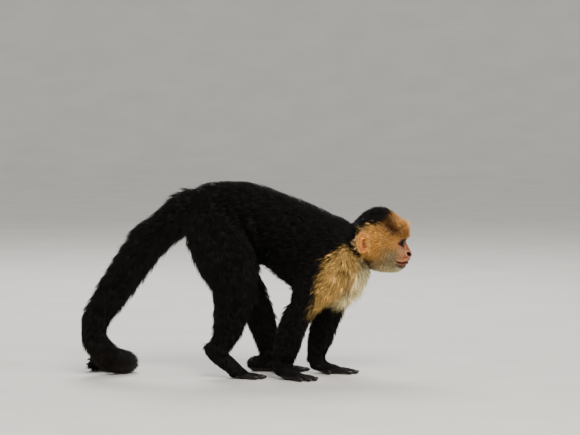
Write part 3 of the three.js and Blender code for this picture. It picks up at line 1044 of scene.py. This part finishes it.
# ---------------------------------------------------------------- coat
# The pieces of the coat: the solids that each one covers, and how many tufts it has.
COATS = {
    "coat_chest": (("chest",), 27000),
    "coat_loins": (("loins",), 26000),
    "coat_tail_root": (("tail_root",), 23000),
    "coat_tail_end": (("tail_bend", "tail_end"), 21000),
    "coat_head": (("head", "right_ear", "left_ear"), 33000),
    "coat_neck": (("neck",), 18000),
    "coat_upper_arms": (("right_upper_arm", "left_upper_arm"), 25000),
    "coat_forearms": (("right_forearm", "left_forearm", "right_hand", "left_hand"), 23000),
    "coat_thighs": (("right_thigh", "left_thigh"), 27000),
    "coat_shanks": (("right_shank", "left_shank", "right_foot", "left_foot"), 26000),
}
PALE_COATS = ("coat_head", "coat_neck", "coat_upper_arms")
FINE_COATS = PALE_COATS + ("coat_chest",)
TUFT_CORNERS = 5  # the root, the bend's left, top and right, and the tip
TUFT_FACES = np.array([(0, 2, 1), (0, 3, 2), (0, 1, 3), (4, 1, 2), (4, 2, 3), (4, 3, 1)])
PATCH = 0.0015  # half of a tuft's patch on the coat's map
PATCH_SPOTS = np.array([(0, -1), (-1, 0), (0, 0.3), (1, 0), (0, 1)]) * PATCH
FAR_OFF, FAR_OFF_FADE = 0.016, 0.006  # how near the skin has to be to hold a tuft, in metres
LIGHT_TINT = 0.25  # a tint is pale if red, green and blue come to more than this
BOX_MARGIN_MM = np.array((7.0, 4.0, 4.0))  # how far inside the solids' box tips begin to be held back
FLOOR_GAP_MM = 0.15
ROOT_DEPTH_MM = 0.4  # how far under the skin a tuft begins


def hair_density(points, nodes):
    """How close the tufts stand, as a share of the usual."""
    face = points - FACE
    x, z = face[:, 0], face[:, 2]
    head = (1 + 0.9 * smooth(-60, -10, x)) * (1 - 0.88 * bare_face(face))
    mouth = (lips_share(x) > 0.3) & (np.abs(z - mouth_height(x)) < 4.5)
    nose = (x > 11) & (np.abs(z + 17) < 9)
    head = np.where(mouth | nose | near_eyes(points, 2.6), 0, head)
    density = np.where(on(nodes, "head"), head, 1.0)
    density = np.where(on(nodes, "ear"), np.where(x < -68, 0.18, 0.3), density)
    ends = 1.5 * smooth(5, 10, points[:, 2])
    for node in ENDS:
        for tip, _, _ in digits(node):
            ends = ends * smooth(8, 11, np.linalg.norm(points[:, :2] - tip, axis=1))
    return np.where(on(nodes, "hand", "foot"), ends, density)


def hair_length(points, nodes):
    """How long the tufts are at each point, in millimetres."""
    length = by_node(HAIR_LENGTH_MM, nodes)
    face = points - FACE
    short = smooth(-60, -4, face[:, 0]) * smooth(34, 12, face[:, 2])
    length = np.where(on(nodes, "head"), length * (1 - 0.68 * short) * (1 - 0.4 * bare_face(face)), length)
    for side in SIDES:
        ahead, up = ear_place(points, side)
        round_ear = (np.hypot(ahead, up) < 1.15) & (ahead < 0.2) & (np.abs(face[:, 1]) > 16)
        length = np.where(on(nodes, "head", "neck") & round_ear, 3.5, length)
        length = np.where(on(nodes, f"{side}_ear"), 5 + 12 * smooth(-0.4, -0.8, ahead), length)
    return np.where(on(nodes, "hand", "foot"), 5.5 + 6 * smooth(8, 18, points[:, 2]), length)


def stand(points, nodes):
    """How far the tips stand off the lying coat, in millimetres: on brow, nape, mantle and back."""
    face = points - FACE
    brow = smooth(-4, 12, face[:, 0]) * smooth(3, 10, face[:, 2]) * smooth(34, 22, face[:, 2])
    nape = cap_share(face) * smooth(-50, -80, face[:, 0])
    loose = 1.8 * mantle_share(points) + 6 * cream_share(points) * mantle_share(points)
    on_trunk = on(nodes, *TRUNK)
    loose = loose + 2.5 * on_trunk * bump(points - (-30, MID_Y, 322), (70, 34, 20))
    loose = loose + 3 * on_trunk * bump(points - (-80, MID_Y, 318), (18, 34, 20))
    return np.where(on(nodes, "head"), 11 * brow + 2.5 * nape, loose)


def skin_map(points, node):
    """Where points lie on the unwrapped skin of a node: along it and round it, each from 0 to 1."""
    if node == "head":
        arm = unit(points - middle("head"))
        turn = np.arctan2(arm[:, 2], arm[:, 0]) / math.tau + 0.5
        return np.stack([turn, np.arcsin(np.clip(arm[:, 1], -1, 1)) / math.pi + 0.5], 1)
    share, direction, place = follow(points, line_of(node))
    flat = node == "tail_end" or node.endswith(("hand", "foot"))
    reference = np.array((0.0, 0.0, 1.0) if flat else (0.0, 1.0, 0.0))
    first = unit(reference - direction * (direction @ reference)[:, None])
    second = np.cross(direction, first)
    arm = points - place
    turn = np.arctan2(np.sum(arm * second, 1), np.sum(arm * first, 1)) / math.tau + 0.5
    return np.stack([share, turn], 1)


def tile(count, number):
    """The corner and size of one of a few equal tiles of the map."""
    across = math.ceil(math.sqrt(count))
    return np.array((number % across, number // across)) / across, 1 / across


class Skin:
    """What the coat needs to know of the finished skin."""

    def __init__(self, thing):
        mesh = thing.data
        mesh.calc_loop_triangles()
        self.faces = read(mesh.loop_triangles, "vertices", 3, np.int32)
        self.points = read_points(mesh)
        self.normals = read_normals(mesh)
        self.nodes = nodes = read(mesh.attributes["Region"].data, "value", 1, np.int32)[:, 0]
        net = Net(mesh)
        self.depth = net.even(coat_depth(self.points, nodes), 10)
        self.length = net.even(hair_length(self.points, nodes), 6)
        self.density = hair_density(self.points, nodes)
        self.stand = net.even(stand(self.points, nodes), 6)
        self.lie = net.even(lie_of_hair(self.points, self.normals, nodes), 12)
        self.tree = BVHTree.FromPolygons((self.points * MM).tolist(), self.faces.tolist())

    def roots(self, covered, count, rng):
        """Places on the skin of some nodes, as the faces chosen and the shares of their three corners."""
        own = on(self.nodes[self.faces[:, 0]], *covered)
        a, b, c = (self.points[self.faces[:, i]] for i in range(3))
        area = np.linalg.norm(np.cross(b - a, c - a), axis=1) / 2
        weight = np.cumsum(area * own * self.density[self.faces].min(1))
        chosen = np.searchsorted(weight, rng.random(count) * weight[-1])
        first, second = np.sqrt(rng.random(count)), rng.random(count)
        shares = np.stack([1 - first, first * (1 - second), first * second], 1)
        return self.faces[chosen], shares

    def laid(self, targets, height, loose, fallback):
        """Points brought to a height over the skin, less so for loose ones and where the skin is far off."""
        found = np.empty_like(targets)
        normals = np.empty_like(targets)
        for i, target in enumerate(targets):
            spot, normal, _, distance = self.tree.find_nearest(Vector(target * MM))
            hold = (1 - loose[i]) * min(max((FAR_OFF - distance) / FAR_OFF_FADE, 0), 1)
            found[i] = target + hold * (np.array(spot) / MM - target)
            normals[i] = np.array(normal) * hold + fallback[i] * (1 - hold)
        normals = unit(normals)
        return found + normals * height[:, None], normals


def blended(values, corners, shares):
    """Values of the skin's corners, blended at the chosen places."""
    return np.einsum("ij...,ij->i...", values[corners], shares)


def locks(roots, rng, size):
    """For each root, the number of the root that leads its lock."""
    leaders = rng.choice(len(roots), max(1, len(roots) // size), replace=False)
    search = KDTree(len(leaders))
    for i, leader in enumerate(leaders):
        search.insert(roots[leader], i)
    search.balance()
    return leaders[[search.find(root)[1] for root in roots]]


def held_in_box(spots):
    """Eases tips that would leave the solids' box back under its sides, and keeps them over the floor."""
    low, high = (np.array(corner) / MM for corner in CAD_BOX)
    margin = BOX_MARGIN_MM
    over = np.maximum(spots - (high - margin), 0)
    spots = spots - over + margin * 0.95 * (1 - np.exp(-over / margin))
    under = np.maximum(low + margin - spots, 0) * (1, 1, 0)
    spots = spots + under - margin * 0.95 * (1 - np.exp(-under / margin))
    spots[..., 2] = np.maximum(spots[..., 2], FLOOR_GAP_MM)
    return spots


def tuft_spots(roots, normals, middles, tips, upward, width):
    """The corners of each tuft: its root under the skin, three round its bend, and its tip."""
    along = unit(tips - roots)
    across = unit(np.cross(along, upward))
    rise = np.cross(across, along)
    half = (width / 2)[:, None]
    wide, low = across * half, rise * half * 0.3
    bend = (middles - wide - low, middles + rise * half * 0.8, middles + wide - low)
    return held_in_box(np.stack([roots - normals * ROOT_DEPTH_MM, *bend, tips], axis=1))


def tuft_colours(middles, owner, lock, rng):
    """The colours of each tuft's corners: dark at its root and lightest at its tip; the dark root is partly
    the hair's own colour and partly painted shade deep in the coat.
    """
    count = len(owner)
    on_head = on(owner, "head")
    edge = np.where(on_head, 1.4, 1.8)[:, None]
    wander = edge * (rng.normal(0, 1.3, (count, 3)) + rng.normal(0, 2.0, (count, 3))[lock])
    tint = markings(middles + wander, owner)
    light_tips = on_head * (tint.sum(1) > LIGHT_TINT) * 0.4 * (rng.random(count) > 0.8)
    tint = mix(tint, TONE["pale_tip"], light_tips)
    bright = tint.sum(1) > LIGHT_TINT
    spread = np.where(bright, np.where(on_head, 0.16, 0.5), 0.34)
    fine = np.where(on_head, 0.27, 0.26 + 0.12 * bright)
    tone = np.exp(fine * rng.normal(0, 1, count) + spread * rng.normal(0, 1, count)[lock])
    base = tint * tone[:, None]
    # The root is partly the hair's own darker colour and partly painted shade deep in the coat.
    deep = base * np.where(bright, np.where(on_head, 0.3, 0.2), 0.5)[:, None]
    return np.stack([deep, base * 0.85, base * 0.9, base * 0.85, base * 1.25], axis=1)


def map_places(roots, owner, covered):
    """Where each tuft's patch lies on the map: every node's skin has a tile of its own."""
    places = np.empty((len(roots), 2))
    for order, node in enumerate(covered):
        own = on(owner, node)
        corner, size = tile(len(covered), order)
        places[own] = corner + size * (0.02 + 0.96 * skin_map(roots[own], node))
    return places


def build_coat(name, skin, settings, rng):
    """One piece of the coat: a joined mesh of bent, pointed tufts over the skin of its nodes."""
    covered, count = COATS[name]
    corners, shares = skin.roots(covered, count, rng)
    fields = (skin.points, skin.normals, skin.depth, skin.stand, skin.length, skin.lie)
    roots, normals, depth, raised, length, lie = (blended(field, corners, shares) for field in fields)
    normals = unit(normals)
    owner = skin.nodes[corners[:, 0]]
    pale = np.where(on(owner, "head"), 0.7, mantle_share(roots))
    lock = locks(roots, rng, settings.lock_size // 2 if name in FINE_COATS else settings.lock_size)
    chance = rng.random(count)
    lock_chance = rng.random(count)[lock]
    stray = (chance > 1 - settings.strays / 2) | (lock_chance > 1 - settings.strays)
    length = length * rng.uniform(0.75, 1.2, count)
    lie = along_skin(lie, normals)
    swing = rng.normal(0, 0.09, count) + rng.normal(0, 0.13, count)[lock] + rng.normal(0, 0.3, count) * stray
    lie = lie * np.cos(swing)[:, None] + np.cross(normals, lie) * np.sin(swing)[:, None]
    height = depth * (0.62 + 0.22 * chance + 0.22 * lock_chance) * (1 + 0.4 * stray)
    height += raised * (0.4 + 0.6 * chance)
    loose = np.where(on(owner, "ear"), 0.9, 0.12 + 0.5 * stray)
    width = settings.thickness / MM * np.clip(length / 18, 0.3, 1.1) * rng.uniform(0.75, 1.25, count)
    width *= 1 - 0.28 * pale
    middles, upward = skin.laid(roots + lie * (length * 0.42)[:, None], height * 0.62, loose, normals)
    tips, _ = skin.laid(roots + lie * (length * 0.97)[:, None], height, loose, normals)
    hanging = smooth(-0.1, -0.8, normals[:, 2]) * smooth(12, 40, roots[:, 2])
    tips[:, 2] -= length * (0.04 + 0.13 * hanging)
    leading = tips[lock] + 0.35 * (roots - roots[lock])
    tips += (settings.clumping * (1 - 0.45 * pale) * (1 - 0.5 * stray))[:, None] * (leading - tips)
    spots = tuft_spots(roots, normals, middles, tips, upward, width)
    colours = tuft_colours(roots + lie * (length * 0.5)[:, None], owner, lock, rng)
    return tuft_mesh(name, spots, colours, map_places(roots, owner, covered)[:, None, :] + PATCH_SPOTS)


def tuft_mesh(name, spots, colours, patches):
    """A mesh of many tufts from the five corners, colours and map places of each."""
    count = len(spots)
    faces = (np.arange(count)[:, None, None] * TUFT_CORNERS + TUFT_FACES).reshape(-1)
    mesh = bpy.data.meshes.new(name)
    mesh.vertices.add(count * TUFT_CORNERS)
    mesh.loops.add(len(faces))
    mesh.polygons.add(len(faces) // 3)
    mesh.vertices.foreach_set("co", (spots * MM).astype(np.float32).ravel())
    mesh.loops.foreach_set("vertex_index", faces.astype(np.int32))
    mesh.polygons.foreach_set("loop_start", np.arange(0, len(faces), 3, dtype=np.int32))
    mesh.update(calc_edges=True)
    shade_smooth(mesh)
    layer = mesh.uv_layers.new(name="OFBake")
    layer.data.foreach_set("uv", np.clip(patches, 0, 1).reshape(-1, 2)[faces].astype(np.float32).ravel())
    paint(mesh, "Tint", colours.reshape(-1, 3))
    return new_object(name, mesh)


# ---------------------------------------------------------------- stage
def build_floor():
    """A pale studio floor that turns up into a wall far from the animal on every side."""
    flat, curve, steps = 6.5, 3, 12
    profile = [(0, 0), (flat, 0)]
    for step in range(1, steps + 1):
        turn = step / steps * math.pi / 2
        profile.append((flat + curve * math.sin(turn), curve - curve * math.cos(turn)))
    shape = bmesh.new()
    verts = [shape.verts.new((x, 0, z)) for x, z in profile]
    edges = [shape.edges.new(pair) for pair in zip(verts, verts[1:])]
    bmesh.ops.spin(
        shape, geom=verts + edges, cent=(0, 0, 0), axis=(0, 0, 1), angle=math.tau, steps=72, use_merge=True
    )
    bmesh.ops.remove_doubles(shape, verts=shape.verts, dist=1e-5)
    bmesh.ops.recalc_face_normals(shape, faces=shape.faces)
    if sum(face.normal.z for face in shape.faces) < 0:
        bmesh.ops.reverse_faces(shape, faces=shape.faces)
    return smooth_object("floor", shape, plain_material("pale_floor", "#e4e1da", 0.7, 6.0))


def area_light(name, place, aim, size, power, code="#ffffff"):
    lamp = bpy.data.lights.new(name, "AREA")
    lamp.size = size
    lamp.energy = power
    lamp.color = linear(code)
    thing = new_object(name, lamp)
    thing.location = place
    thing.rotation_euler = (Vector(aim) - Vector(place)).to_track_quat("-Z", "Y").to_euler()
    return thing


SENSOR_WIDTH_MM = 36


def add_camera(stage):
    """A long lens that looks at the animal's right side from a little above its back."""
    lens = bpy.data.cameras.new("camera")
    lens.sensor_width = SENSOR_WIDTH_MM
    lens.lens = SENSOR_WIDTH_MM * stage.distance / stage.view_width
    lens.clip_end = 60
    camera = new_object("camera", lens)
    aim = Vector((stage.aim_ahead, MID_Y * MM, stage.aim_height))
    rise = stage.elevation
    camera.location = aim + Vector((0, -math.cos(rise), math.sin(rise))) * stage.distance
    camera.rotation_euler = (aim - camera.location).to_track_quat("-Z", "Y").to_euler()
    bpy.context.scene.camera = camera


# ---------------------------------------------------------------- the add-on
def length(name, description, default, **limits):
    """A length that the user can set, in metres."""
    settings = {"name": name, "description": description, "default": default, "unit": "LENGTH"}
    return bpy.props.FloatProperty(**settings, **limits)


def factor(name, description, default):
    """A share that the user can set."""
    return bpy.props.FloatProperty(name=name, description=description, default=default, subtype="FACTOR")


class MonkeySkin(bpy.types.PropertyGroup):
    """Sizes of the skin."""

    overlap: length("Overlap", "How far each solid is grown to join its neighbours", 0.00035)
    grain: length("Grain", "Size of the skin's first faces", 0.0016, min=0.001)
    kept_share: factor("Kept share", "Share of the faces kept where the coat hides the skin", 0.3)


class MonkeyCoat(bpy.types.PropertyGroup):
    """Sizes of the coat."""

    thickness: length("Thickness", "Width of a long tuft", 0.001)
    lock_size: bpy.props.IntProperty(name="Lock size", description="Number of tufts in a lock", default=11)
    clumping: factor("Clumping", "How far tips are drawn together into locks", 0.6)
    strays: factor("Strays", "Share of the tufts that stand off the coat", 0.12)
    seed: bpy.props.IntProperty(name="Seed", description="Number from which chance is worked out", default=7)


def colour_property(code, name, description):
    return bpy.props.FloatVectorProperty(
        name=name, description=description, default=linear(code), subtype="COLOR", min=0, max=1
    )


class MonkeyColours(bpy.types.PropertyGroup):
    """Colours of hair and skin."""

    __annotations__ = {key: colour_property(*entry) for key, entry in PALETTE.items()}


class MonkeyStage(bpy.types.PropertyGroup):
    """Places of the camera."""

    distance: length("Distance", "From the camera to the animal", 5.0)
    view_width: length("View width", "Width of the view at the animal", 0.986)
    elevation: bpy.props.FloatProperty(
        name="Elevation", description="How far the camera looks down", subtype="ANGLE",
        default=math.radians(3.5),
    )
    aim_ahead: length("Aim ahead", "Where the camera looks, ahead of the origin", 0.0755)
    aim_height: length("Aim height", "Where the camera looks, over the floor", 0.2695)


def take_colours(scene):
    """Reads the colours that the user has chosen."""
    for name in PALETTE:
        TONE[name] = np.array(getattr(scene.monkey_colours, name))


class MONKEY_OT_skin(bpy.types.Operator):
    """Make the skin that replaces the solids of flesh"""

    bl_idname = "monkey.skin"
    bl_label = "Skin"

    def execute(self, context):
        take_colours(context.scene)
        skin = build_skin(context.scene.monkey_skin)
        skin.data.materials.append(skin_material())
        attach(skin, "root")
        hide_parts(*FLESH)
        return {"FINISHED"}


class MONKEY_OT_eyes(bpy.types.Operator):
    """Make both eyes"""

    bl_idname = "monkey.eyes"
    bl_label = "Eyes"

    def execute(self, context):
        for side in SIDES:
            eye = build_eye(side)
            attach(eye, "root")
            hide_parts(f"{side}_eye")
        return {"FINISHED"}


class MONKEY_OT_nails(bpy.types.Operator):
    """Make the nails of all fingers and toes"""

    bl_idname = "monkey.nails"
    bl_label = "Nails"

    def execute(self, context):
        nails = build_nails(bpy.data.objects["skin"])
        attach(nails, "root")
        return {"FINISHED"}


class MONKEY_OT_coat(bpy.types.Operator):
    """Grow the pieces of the coat on the skin"""

    bl_idname = "monkey.coat"
    bl_label = "Coat"

    def execute(self, context):
        take_colours(context.scene)
        settings = context.scene.monkey_coat
        skin = Skin(bpy.data.objects["skin"])
        hair = hair_material()
        for order, name in enumerate(COATS):
            rng = np.random.default_rng(settings.seed + order)
            coat = build_coat(name, skin, settings, rng)
            coat.data.materials.append(hair)
            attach(coat, "root")
        return {"FINISHED"}


class MONKEY_OT_stage(bpy.types.Operator):
    """Set up the floor, the lights and the camera"""

    bl_idname = "monkey.stage"
    bl_label = "Stage"

    def execute(self, context):
        build_floor()
        aim = (0.02, 0.0, 0.2)
        area_light("key_light", (0.5, -2.4, 2.3), aim, 1.5, 88, "#fff6ea")
        area_light("fill_light", (2.4, -2.0, 1.1), aim, 2.0, 40, "#f2f6ff")
        area_light("back_light", (-0.2, 2.0, 2.3), aim, 1.4, 60)
        world = bpy.data.worlds.new("studio")
        world.use_nodes = True
        world.node_tree.nodes["Background"].inputs["Color"].default_value = (*linear("#e9ebec"), 1)
        world.node_tree.nodes["Background"].inputs["Strength"].default_value = 0.7
        context.scene.world = world
        add_camera(context.scene.monkey_stage)
        return {"FINISHED"}


class MONKEY_PT_panel(bpy.types.Panel):
    """The pieces of the monkey, in the order in which they are made"""

    bl_idname = "MONKEY_PT_panel"
    bl_label = "Capuchin Monkey"
    bl_space_type = "VIEW_3D"
    bl_region_type = "UI"
    bl_category = "Monkey"

    def draw(self, context):
        colours = self.layout.box()
        for key in PALETTE:
            colours.prop(context.scene.monkey_colours, key)
        for operator, group in PIECES:
            box = self.layout.box()
            box.operator(operator.bl_idname)
            if group:
                settings = getattr(context.scene, group)
                for key in type(settings).__annotations__:
                    box.prop(settings, key)


PIECES = (
    (MONKEY_OT_skin, "monkey_skin"),
    (MONKEY_OT_eyes, None),
    (MONKEY_OT_nails, None),
    (MONKEY_OT_coat, "monkey_coat"),
    (MONKEY_OT_stage, "monkey_stage"),
)
GROUPS = {
    "monkey_colours": MonkeyColours,
    "monkey_skin": MonkeySkin,
    "monkey_coat": MonkeyCoat,
    "monkey_stage": MonkeyStage,
}


def register():
    for name, group in GROUPS.items():
        bpy.utils.register_class(group)
        setattr(bpy.types.Scene, name, bpy.props.PointerProperty(type=group))
    for operator, _ in PIECES:
        bpy.utils.register_class(operator)
    bpy.utils.register_class(MONKEY_PT_panel)


def unregister():
    bpy.utils.unregister_class(MONKEY_PT_panel)
    for operator, _ in reversed(PIECES):
        bpy.utils.unregister_class(operator)
    for name, group in reversed(GROUPS.items()):
        delattr(bpy.types.Scene, name)
        bpy.utils.unregister_class(group)


def main():
    register()
    bpy.ops.monkey.skin()
    bpy.ops.monkey.eyes()
    bpy.ops.monkey.nails()
    bpy.ops.monkey.coat()
    bpy.ops.monkey.stage()


if __name__ == "__main__":
    main()
